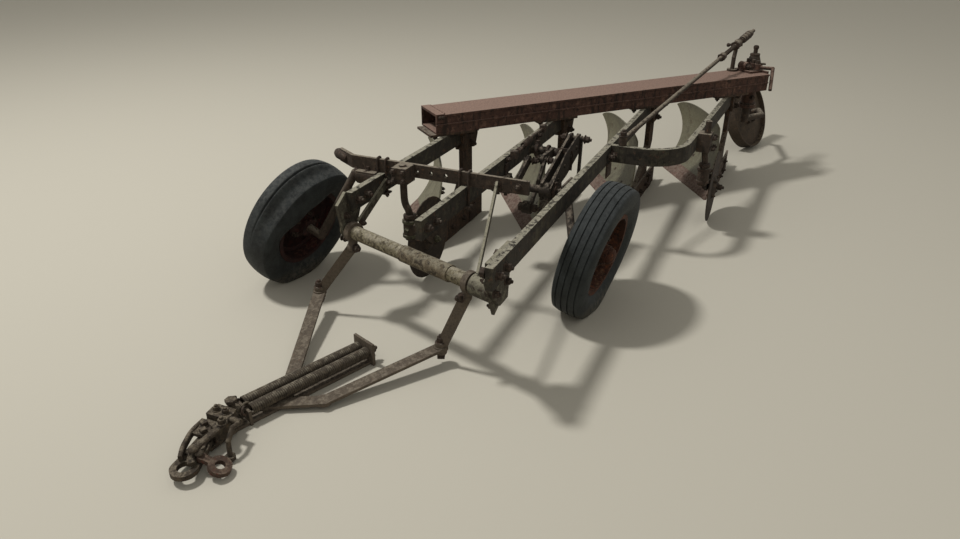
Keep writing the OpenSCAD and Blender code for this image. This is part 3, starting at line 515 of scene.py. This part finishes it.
# Wheels. Two narrow implement tyres on pressed rims, slack and cracked, flattened where they stand. The
# one in the furrow has folded in at the top of its land wall. Its rim is dark red, the other's orange.
def rubber(name, base, dusty):
    """Perished rubber: near black and clouded, dusty where it looks up (by the normal's z) and within
    90 mm of the ground, and cracked in a net: a Voronoi cell's distance to its edge, 11 mm across,
    coarser than the real one so that it shows."""
    material, tree = blank(name)
    place = add(tree, "ShaderNodeTexCoord").outputs["Object"]
    cloud = add(tree, "ShaderNodeTexNoise", {"Vector": place, "Scale": 1000 / 70, "Detail": 8.0,
                                             "Roughness": 0.7})
    mask = add(tree, "ShaderNodeMapRange", {"Value": cloud.outputs["Fac"], "From Min": 0.4, "From Max": 0.65})
    colour = mix(tree, mask.outputs[0], base, "#2c302f")
    normal = add(tree, "ShaderNodeNewGeometry").outputs["Normal"]
    height = add(tree, "ShaderNodeSeparateXYZ", {"Vector": normal}).outputs["Z"]
    lift = add(tree, "ShaderNodeMapRange", {"Value": height, "From Min": -0.1, "From Max": 0.95,
                                            "To Max": 0.75})
    dust = add(tree, "ShaderNodeTexNoise", {"Vector": place, "Scale": 1000 / 18, "Detail": 8.0,
                                            "Roughness": 0.75})
    dust = add(tree, "ShaderNodeMapRange", {"Value": dust.outputs["Fac"], "From Min": 0.42, "From Max": 0.62})
    mask = add(tree, "ShaderNodeMath", {0: lift.outputs[0], 1: dust.outputs[0]}, operation="MULTIPLY")
    colour = mix(tree, mask.outputs[0], colour, dusty)
    low = add(tree, "ShaderNodeSeparateXYZ", {"Vector": place}).outputs["Z"]
    foot = add(tree, "ShaderNodeMapRange", {"Value": low, "From Min": 0.09, "From Max": 0.0, "To Max": 0.55})
    mask = add(tree, "ShaderNodeMath", {0: foot.outputs[0], 1: dust.outputs[0]}, operation="MULTIPLY")
    colour = mix(tree, mask.outputs[0], colour, "#8b8270")
    crack = add(tree, "ShaderNodeTexVoronoi", {"Vector": place, "Scale": 1000 / 11},
                feature="DISTANCE_TO_EDGE")
    crack = add(tree, "ShaderNodeMapRange", {"Value": crack.outputs["Distance"], "From Max": 0.09})
    both = add(tree, "ShaderNodeMath", {0: crack.outputs[0], 1: dust.outputs[0]}, operation="ADD")
    relief = add(tree, "ShaderNodeBump", {"Height": both.outputs[0], "Distance": 0.0006, "Strength": 0.8})
    shader = add(tree, "ShaderNodeBsdfPrincipled", {"Base Color": colour, "Roughness": 0.72,
                                                   "Normal": relief.outputs[0], "Specular IOR Level": 0.35})
    add(tree, "ShaderNodeOutputMaterial", {"Surface": shader.outputs[0]})
    return material


def wheel_axes(place, toe, lean):
    """A wheel's system at place: z along its axle, (sin t cos n, cos t cos n, -sin n) for a toe t and a
    lean n in degrees, and x ahead."""
    t, n = math.radians(toe), math.radians(lean)
    axle = (math.sin(t) * math.cos(n), math.cos(t) * math.cos(n), -math.sin(n))
    return axes(place, axle, (math.cos(t), -math.sin(t), 0))


def tyre_profile(ribs, groove):
    """(radius, axial) points round the section. The tread, from -59 to 59, has the radius
    309.5 - 9(a/62)^2 and is plain, or has ribs parted by grooves; then come shoulders, walls that swell
    to 75, beads at 178 and the inside, 12 mm in."""
    tread = [(a, 0) for a in np.linspace(-59, 59, 25)]
    if ribs:
        tread = [(-59, 0)]
        for c in np.linspace(-44, 44, ribs - 1):
            tread += [(c - 3, 0), (c - 2, groove), (c + 2, groove), (c + 3, 0)]
        tread += [(59, 0)]
    wall = [(178, 44), (178, 51), (190, 52), (200, 57), (222, 70), (248, 75), (272, 74), (290, 69), (300, 63)]
    crown = [(309.5 - 9 * (a / 62) ** 2 - g, a) for a, g in tread]
    inside = [(206, 44), (236, 62), (270, 62), (289, 40), (293, 0)]
    return np.array([(r, -a) for r, a in wall] + crown + wall[::-1] + inside
                    + [(r, -a) for r, a in inside[-2::-1]], float)


def tyre(place, toe, lean, ribs, groove, fold):
    """The section turned about the axle in 144 steps. Near the ground the walls swell by 14% of a bell
    curve exp(-x^2) of the angle, and what would be lower than 6 mm is drawn out above the ground by
    0.6 + 5.4 exp((z-6)/6). Where it has folded, a bell curve of the angle sinks the land shoulder by
    fold, creases the tread and lets that wall hang by 84 mm."""
    local = wheel_axes(place, toe, lean)
    a = np.arange(144) * 2 * np.pi / 144
    profile = tyre_profile(ribs, groove)
    if fold:
        step = (np.roll(profile, -1, 0) - profile) / 4
        profile = np.concatenate([profile + step * k for k in range(4)], 1).reshape(-1, 2)
    r, h = profile.T
    r, h, a = r[None, :], h[None, :], a[:, None]
    near = np.exp(-((a - np.pi / 2) / 0.42) ** 2) * np.clip((r - 190) / 60, 0, 1)
    h = h * (1 + 0.14 * near)
    if fold:
        top = np.exp(-((a - 1.5 * np.pi - 0.4) / 0.85) ** 4)
        inner = 1 / (1 + np.exp((8 - h) / 9))
        wall = top * np.exp(-((r - 236) / 31) ** 2) / (1 + np.exp((30 - h) / 5))
        crease = top * np.exp(-((h + 12) / 3.5) ** 2) * np.clip((r - 280) / 15, 0, 1)
        r = r - fold * top * inner * np.clip((r - 235) / 50, 0, 1) - 9 * crease - 84 * wall
        h = h + 12 * wall
    points = out_of(local, np.stack([r * np.cos(a), r * np.sin(a), h + 0 * a], -1))
    z = points[..., 2]
    points[..., 2] = np.where(z < 6, 0.6 + 5.4 * np.exp(np.minimum(z - 6, 0) / 6), z)
    return sheet(points, close_u=True, close_v=True)


# Centre, toe and lean
wheels = {"furrow": ((978, -826, 288), 6.5, 19), "land": ((702, 545, 288), 5, 12)}
ob = piece("furrow_tyre_ribbed", [tyre(*wheels["furrow"], 0, 0, 40)],
           rubber("perished_black_rubber", "#151716", "#50514c"), "furrow_wheel", 50)
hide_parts("furrow_tyre")
ob = piece("land_tyre_ribbed", [tyre(*wheels["land"], 5, 5, 0)],
           rubber("perished_blue_grey_rubber", "#181c1b", "#3f4241"), "land_wheel", 50)
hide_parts("land_tyre")
rims = {"furrow": weathered("dark_red_rim", "#2e1512",
                            [("#431d18", 40, 0.5, 0.1), ("#180d0a", 22, 0.4, 0.08)], top=("#54382d", 0.4)),
        "land": weathered("orange_brown_rim", "#4d2e20",
                          [("#6f4229", 36, 0.45, 0.1), ("#2b1a12", 20, 0.45, 0.08)], top=("#7d6048", 0.4))}
for name, where in wheels.items():
    dress(rims[name], name + "_rim")
    local = wheel_axes(*where)
    axle = local[1][2]
    outer = -1 if name == "furrow" else 1
    cap = [(2, 70), (25, 68), (25, 56), (36, 55.3), (37, 60), (37, 68), (33, 76), (22, 84), (2, 86)]
    parts = [turned([(r, outer * h) for r, h in cap], local, 32)]
    # hub flanges either side of the dish and five wheel bolts
    parts.append(turned([(43, 0.3), (78, 0.3), (80, 3), (80, 8), (70, 12), (50, 24), (43, 25)], local, 40))
    parts.append(turned([(43, -8.3), (76, -8.3), (78, -11), (76, -15), (48, -30), (43, -31)], local, 40))
    # pressed ring near the rim, both faces
    for lo, hi in ((0.2, 6), (-8.2, -14)):
        parts.append(turned([(138, lo), (142, hi), (156, hi), (161, lo)], local, 64))
    piece(name + "_hub", parts, rims[name], name + "_wheel")
    parts = []
    for k in range(5):
        a = math.radians(36 + 72 * k)
        spot = np.array([64 * math.cos(a), 64 * math.sin(a), 0])
        parts += fastener(out_of(local, spot + [0, 0, 12.0]), axle, 22)
        parts += fastener(out_of(local, spot + [0, 0, -16.0]), -axle, 22)
    # valve stem
    stem = axes(out_of(local, [150, 0, 0]), axle + 0.3 * local[1][0])
    parts.append(turned([(5, 6), (5, 40), (4, 42)], stem, 12))
    piece(name + "_wheel_bolts", parts, bolt_rust, name + "_wheel")
# Collars with set screws where the cranks leave their bearing blocks
parts = [turned([(20, -8), (30, -8), (31, -6), (31, 6), (30, 8), (20, 8)],
                axes((887, -541, 545), LEFT), 32)]
parts += fastener((887, -541, 575), UP, 15, "square")
piece("furrow_crank_collar", parts, bolt_rust, "furrow_crank")
parts = [turned([(20, 0), (33, 0), (34, 2), (34, 14), (33, 16), (20, 16)],
                axes((480, 262, 440), LEFT), 32)]
parts += fastener((480, 270, 473), UP, 17, "square")
piece("land_crank_collar", parts, bolt_rust, "land_crank")
# Bolts of the two cranks' bearing blocks
parts = []
for x in (852.9, 921.1):
    parts += [swept([(x, -480, 500), (x, -480, 566)], round_section(12, 10), AHEAD)]
parts += fastener((887, -480, 570.5), UP, 24, "square")
parts += fastener((480, -20, 398), DOWN, 18, "square")
parts += fastener((480, 20, 398), DOWN, 18, "square")
piece("bearing_bolts", parts, bolt_rust, "frame")

# Rear wheel. A cast wheel with a plain tread leans against the furrow wall; its hub is bolted on and
# the whole has a smooth dark brown rust.
dress(weathered("smooth_wheel_rust", "#4a3e31", [("#675543", 60, 0.5, 0.15), ("#2c241c", 30, 0.4, 0.1)],
                top=("#83745f", 0.5)), "rear_wheel")
kingpin = out_of(on_box, [2228, 166, 0])
# It leans 20 degrees, so its hub is 250 cos 20 + 38 sin 20 up, for a radius of 250 and a width of 76
lean = math.radians(20)
rear_hub = kingpin + [-558, -37, 250 * math.cos(lean) + 38 * math.sin(lean)]
local = wheel_axes(rear_hub, 18, -20)
parts = [turned([(45, 50.3), (52, 50), (52, 36), (46, 34), (45.2, 34)], local, 40),
         turned([(45.2, -34), (52, -36), (52, -50), (45, -50.3)], local, 40)]
for k in range(6):
    a = math.radians(60 * k)
    parts += fastener(out_of(local, [78 * math.cos(a), 78 * math.sin(a), 24.0]), local[1][2], 18)
piece("rear_hub_bolts", parts, bolt_rust, "rear_wheel")

# Lifting gear. Lever plates, links and a trip arm stand in the middle of the frame, pinned with big
# nuts and washers, all thick with old grease and dust.
parts = []
for y, out in ((189.5, -1), (284.5, 1)):
    parts += fastener((90, y, 585), (0, out, 0), 30)
parts += fastener((108, 272.5, 344), LEFT, 26)
parts += fastener((108, 261.5, 344), RIGHT, 26, "square")
for y in (217.5, 244.5):
    parts.append(turned([(14, -1.4), (26, -1.4), (26, 1.4), (14, 1.4)], axes((90, y, 585), LEFT), 24))
parts += fastener((308, 92.5, 514), LEFT, 26)
parts += bolted((455, 204.6, 470), (455, 257.4, 470), 20)
# hooped cover strap over the two lever plates
hoop = [(250, 203, 470), (235, 203, 560), (240, 261, 562), (252, 261, 472)]
parts += [swept(bent(hoop, 12), flat_section(26, 6, 1), (1, 0.05, 0))]
piece("lift_lever_pins", parts, bolt_rust, "land_crank")
# broad cheek riveted on the outer lever plate
cheek = [(114, 600), (150, 614), (330, 574), (530, 470), (512, 432), (300, 462), (112, 520)]
upright = np.array([0, 257.3, 0]), np.array([AHEAD, UP, LEFT], float)
parts = [slab(cheek, 0, 7, upright)]
for x, z in ((160, 560), (250, 540), (340, 520), (430, 480)):
    parts += fastener((x, 264, z), LEFT, 17, "cup")
piece("lift_cheek", parts, greased, "land_crank")
# pin nuts, two collars on the lift shaft
parts = fastener((258, 156.5, 509), LEFT, 28)
parts += fastener((258, 107.5, 509), RIGHT, 24, "square")
parts += fastener((455, 146.5, 329), LEFT, 34)
parts += fastener((455, 103.5, 329), RIGHT, 30, "square")
parts += fastener((110, 164.5, 505), LEFT, 32)
parts += [turned([(23, 0), (36, 0), (38, 3), (38, 13), (36, 16), (23, 16)], axes((110, 36, 505), LEFT), 32),
          turned([(23, 0), (33, 0), (34, 2), (34, 10), (33, 12), (23, 12)], axes((110, 96, 505), LEFT), 32)]
parts += fastener((110, 44, 542), UP, 17, "square")
# trip rod along the second beam: adjusting nuts, a plate and a guide block at either end, a spring
rod = bent([(470, 58, 590), (330, 54, 596), (180, 44, 602), (40, 44, 600)], 30)
parts += [swept(rod, round_section(14, 12))]
for place in ((420, 57, 592), (396, 56.5, 593)):
    parts.append(turned([(14, -10), (15, -8), (15, 8), (14, 10)], axes(place, (1, 0, -0.03)), 6))
for x, y, tall, low, w, d, z, h in ((40, 44, 62, 553, 18, 14, 581, 40), (470, 58, 66, 540, 16, 16, 571, 38)):
    parts += [slab([(-16, 0), (16, 0), (16, tall), (-16, tall)], 0, 8, axes((x, 14.4, low), LEFT, AHEAD)),
              slab([(-w, -d), (w, -d), (w, d), (-w, d)], 0, h, axes((x, y, z), UP, AHEAD), 3)]
for x in (40, 470):
    parts += fastener((x, 22.5, 561), LEFT, 18)
turns = np.linspace(0, 2 * np.pi * 11, 11 * 14 + 1)
run = 1.7 * turns
coil = np.stack([345 - run, 53 + 14 * np.cos(turns) - 0.06 * run, 595.5 + 14 * np.sin(turns)], -1)
parts += [swept(coil, round_section(5, 6), AHEAD)]
piece("trip_gear", parts, bolt_rust, "frame")

# Coulters. Rolling discs on forged yokes that swivel on round shanks, which are clamped to the frame;
# the front one's yoke has greenish rings and bolts.
dress(bar_rust, "coulter_yoke_1", "coulter_yoke_4")
dark_iron = weathered("dark_rusty_iron", "#342b23", [("#4a3d31", 50, 0.5, 0.12), ("#5f4d3c", 24, 0.3, 0.08)],
                      top=("#7b6d5c", 0.5))
dress(dark_iron, "coulter_disc_1", "coulter_disc_4")
green_cast = weathered("greenish_casting", "#4c4a38",
                       [("#605d46", 40, 0.5, 0.12), ("#322f24", 20, 0.45, 0.08)],
                       top=("#837e69", 0.6), grain_mm=6, grain_depth_mm=0.9)
# Number, body, disc's x and y, swivel's x, side of the disc it stands on, shank's y
coulters = ((1, "front", 712, -285, 937, 1, -275), (4, "rear", -570, 866, -315, -1, 823))
parts = []
for _, _, _, cy, x, side, shank_y in coulters:
    swivel = cy + 34 * side
    parts += [swept(bent([(x, shank_y, 638), (x, shank_y, 462), (x, swivel, 424), (x, swivel, 292)], 34, 9),
                    round_section(32, 28), AHEAD),
              turned([(16, 292), (24, 292.5), (25, 295), (25, 302), (24, 304), (16, 304)],
                     axes((x, swivel, 0), UP), 32)]
ob = piece("coulter_shanks_bent", parts, bar_rust, "frame")
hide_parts("coulter_shanks")
for number, body, cx, cy, x, side, shank_y in coulters:
    swivel = cy + 34 * side
    # disc: a bevelled cutting edge and a hub cap with four bolts on either face
    parts = []
    for way in (-1, 1):
        hub = axes((cx, cy, 200), (0, way, 0))
        parts.append(turned([(12, 21.2), (30, 21.2), (46, 16), (58, 9), (72, 4), (73, 2.4)], hub, 40))
        parts.append(turned([(185, 2.45), (186, 2.9), (188, 2.9), (189, 2.45)], hub, 96))
        for k in range(4):
            a = math.radians(45 + 90 * k)
            spot = (cx + 60 * math.cos(a), cy + way * 7.5, 200 + 60 * math.sin(a))
            parts += fastener(spot, (0, way, 0), 15)
    piece(f"coulter_hub_{number}", parts, dark_iron, body + "_disc")
    # yoke: pin nuts, its two bolts and the swivel's rings
    far = cy - 30 + 4 * side
    parts = bolted((cx, far, 200), (cx, far + 60, 200), 30)
    arm = cy + 33 * side
    for bx, bz in ((x - 88, 345), (x - 130, 300)):
        parts += bolted((bx, arm - 7.3, bz), (bx, arm + 7.3, bz), 26)
    for z in (312, 380):
        parts.append(turned([(30.8, -8), (35, -6), (35, 6), (30.8, 8)], axes((x, swivel, z), UP), 32))
    parts += fastener((x + 31, swivel, 346), AHEAD, 17, "square")
    piece(f"coulter_yoke_bolts_{number}", parts, green_cast if number == 1 else bolt_rust,
          body + "_coulter")
    # shank: a stop collar over the swivel and the clamp's four bolts
    parts = [turned([(17, -9), (28, -9), (29, -7), (29, 7), (28, 9), (17, 9)],
                    axes((x, swivel, 402), UP), 32)]
    parts += fastener((x + 28, swivel, 402), (1, 0.2, 0), 15, "square")
    if number == 1:
        for dy in (-24, 24):
            for z in (575, 617):
                parts += fastener((975.5, shank_y + dy, z), AHEAD, 20)
    else:
        for dx in (-24, 24):
            for z in (500, 556):
                parts += fastener((x + dx, shank_y + 32, z), LEFT, 20)
    piece(f"coulter_clamp_bolts_{number}", parts, bolt_rust, "frame")

# Rear column. The kingpin's housing hangs on the box beam's end under a saddle with clamps and nuts. A
# long screw runs back to it from the third beam, with two nuts and a short bent handle.
dress(weathered("reddish_housing_rust", "#503a2f", [("#65493b", 40, 0.5, 0.1), ("#332620", 20, 0.45, 0.08)],
                top=("#8c7566", 0.8), grain_mm=6, grain_depth_mm=0.9), "rear_column")
screw_a, screw_b = np.array([60, 470, 600.0]), np.array([-1450, 795, 840.0])
screw_run = (screw_b - screw_a) / np.linalg.norm(screw_b - screw_a)
screw_local = axes(screw_b, screw_run)
# square thread on either side of its end nut, cut as a bead wound round the rod at an 8 mm pitch
parts = []
for rounds, low in ((24, -232), (7, 32)):
    turns = np.linspace(0, 2 * np.pi * rounds, rounds * 12 + 1)
    thread = np.stack([12 * np.cos(turns), 12 * np.sin(turns), low + 8 * turns / (2 * np.pi)], -1)
    parts += [swept(out_of(screw_local, thread), flat_section(4, 3.4, 0.5), screw_run)]
for h in (-34, 22):
    parts.append(turned([(27, h), (30, h + 2), (30, h + 8), (27, h + 10)], screw_local, 6))
parts.append(turned([(23, -272), (26, -268), (26, -262), (23, -258)], screw_local, 6))
for h in (104, 148, 192):
    parts.append(turned([(22, h), (25, h + 4), (25, h + 14), (22, h + 18)], screw_local, 24))
spot = out_of(screw_local, [0, 0, 160.0])
parts += [swept(bent([spot, spot + [20, -60, -46], spot + [26, -92, -52]], 16), round_section(15, 12), AHEAD)]
parts.append(turned([(2, -12), (10, -9), (13, 0), (10, 9), (2, 12)],
                    axes(spot + [27, -98, -53], (0.1, -1, -0.1)), 16))
parts += fastener((60, 470, 616), UP, 30)
piece("screw_details", parts, bolt_rust, "frame")
parts = []
for y in (62, 100, 146):
    for profile, z, sides in (([(11, 0), (11, 20), (9, 22)], 731, 12),
                              ([(23, 0), (27, 1), (27, 3.5), (23, 4)], 695.2, 24)):
        parts.append(turned(profile, axes(out_of(on_box, [2158, y, z]), UP), sides))
for y in (20, 70, 120):
    for z in (600, 660):
        parts += fastener(out_of(on_box, [2194.4, y, z]), on_box[1][0], 24)
parts += fastener(out_of(on_box, [2106, 91, 715]), -on_box[1][1], 26)
on_kingpin = axes(kingpin, UP)
for z in (456, 690):
    parts.append(turned([(42.3, z - 6), (49, z - 4), (49, z + 4), (42.3, z + 6)], on_kingpin, 40))
side = np.array([0.75, 0.6, 0])
for z in (500, 560):
    parts += fastener(kingpin + side / np.linalg.norm(side) * 41.5 + [0, 0, z], side, 24, "square")
piece("rear_column_bolts", parts, bolt_rust, "frame")
parts = [turned([(13.3, 780), (13, 800), (17, 806), (17, 816), (13, 824), (4, 826)], on_kingpin, 24),
         turned([(26.3, 760), (31, 764), (31, 772), (26, 775)], on_kingpin, 32)]
piece("kingpin_cap", parts, bolt_rust, "rear_arm")

# Hitch. Flat straps, a plate and twin close-wound springs let the hitch trip and couple again; in front
# a cast head with its latch carries the loop. All of it lies on the ground, rusted grey-brown.
dress(weathered("grey_brown_strap_rust", "#62574a",
                [("#6f6353", 60, 0.5, 0.2), ("#4b4136", 30, 0.35, 0.15), ("#6b5243", 18, 0.2, 0.1)],
                top=("#807565", 0.5)), "drawbar", "draft_bar")
head_rust = weathered("dark_greenish_cast_rust", "#463c30",
                      [("#5e5343", 30, 0.5, 0.1), ("#2c251d", 18, 0.45, 0.08), ("#6e4d3a", 12, 0.25, 0.06)],
                      top=("#7b705e", 0.5), grain_mm=5, grain_depth_mm=1.0)
dress(head_rust, "hitch_head", "hitch_loop", "latch_lever")
dress(weathered("reddish_ring_rust", "#4b3a2f", [("#5d4a3c", 26, 0.5, 0.1), ("#6e3c2d", 22, 0.3, 0.12)],
                top=("#756454", 0.45)), "eye_link")
# The draft bar lies turned by draft_turn about the upright, and the hitch head by head_turn on it
draft_turn, head_turn = -20.6, 21.5
turn = math.radians(draft_turn)
hitch = axes((1795, -285, 0), UP, (math.cos(turn), math.sin(turn), 0))
# Springs: 62 close turns of 8 mm wire, 44 mm over all and 511 mm long, with a hook at the front end
turns = np.linspace(0, 2 * np.pi * 62, 62 * 16 + 1)
parts = []
for y in (-27, 27):
    coil = np.stack([-321 + 511 * turns / turns[-1], y + 17.7 * np.cos(turns), 56 + 17.7 * np.sin(turns)], -1)
    parts.append(swept(out_of(hitch, coil), flat_section(8.1, 8.2, 2.2), hitch[1][0]))
spring_wire = weathered("brown_spring_wire", "#50473b",
                        [("#655a4a", 30, 0.5, 0.12), ("#3a3228", 24, 0.4, 0.08)],
                        top=("#857c6b", 0.5), grain_mm=2.5, grain_depth_mm=0.3)
ob = piece("wound_springs", parts, spring_wire, "drawbar", 60)
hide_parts("release_springs")


def bar(local, corners, bend, section, up):
    """A section swept through corners in a local system, which bent() rounds."""
    return swept(bent(out_of(local, corners), bend), section, up)


parts = []
for y in (-27, 27):
    # hook ends and the guide rods' nuts behind the anchor plate
    parts += fastener(out_of(hitch, [-338, y, 56]), -hitch[1][0], 28)
    hook = [(186, y - 16, 58), (200, y - 14, 68), (214, y, 76), (226, y + 8, 62), (214, y + 12, 48)]
    parts.append(bar(hitch, hook, 14, round_section(9, 10), (0, 0.2, 1)))
for x in (-290, -200):
    parts += fastener(out_of(hitch, [x, 0, 14]), UP, 20, "cup")
# bolts where either arm's foot holds its strap, at the left strap's bend and on the two knees
for x, y, z in ((1247, -547, 134.2), (1382, 123, 102.2)):
    parts += bolted((x, y, z - 48.4), (x, y, z), 30)
parts += fastener((1738, -339, 30.2), UP, 24, "cup")
for knee, out in (((1194, -389, 335), (0.35, 0.9, 0.1)), ((1386, 236, 335), (0.9, -0.35, 0.2))):
    parts += fastener(np.array(knee) + 24 * np.array(out), out, 26)
piece("drawbar_bolts", parts, bolt_rust, "drawbar")
turn = math.radians(draft_turn + head_turn)
head = axes(out_of(hitch, [240, 0, 0]), UP, (math.cos(turn), math.sin(turn), 0))
parts = []
for y in (-20, 20):
    parts += fastener(out_of(head, [50, y, 95]), UP, 20)
for x, y in ((110, -24), (110, 24), (140, 0)):
    parts += fastener(out_of(head, [x, y, 72]), UP, 22, "square")
# latch hook: a bent bar from the head's pin forward over the loop, its end turned up
latch = [(20, 10, 80), (104, 52, 92), (160, 46, 88), (212, 34, 78), (246, 40, 60), (262, 58, 56)]
cheek = [(86, -52, 62), (150, -46, 64), (222, -16, 62), (256, 6, 56)]
parts += [bar(head, latch, 26, flat_section(24, 17, 4), UP),
          bar(head, cheek, 26, flat_section(14, 26, 3), UP)]
parts += fastener(out_of(head, [228, 40, 86]), (0.1, 0, 1), 30, "cup")
parts += fastener(out_of(head, [104, 52, 101]), UP, 24)
# two hooks towards the springs
for hook in (((-26, -34, 56), (-46, -36, 58), (-58, -32, 72), (-40, -26, 84), (-24, -24, 74)),
             ((-20, 34, 50), (-40, 38, 54), (-52, 34, 68), (-36, 28, 80), (-22, 24, 72))):
    parts.append(bar(head, hook, 10, round_section(11, 10), (0.2, 1, 0)))
# loop's latch plate and the ring link's pin head
parts += [slab([(150, -20), (226, -8), (232, 30), (214, 56), (150, 22)], 46, 56, head)]
parts += fastener(out_of(head, [226, 60, 72]), UP, 22, "cup")
piece("hitch_head_details", parts, head_rust, "hitch_head")
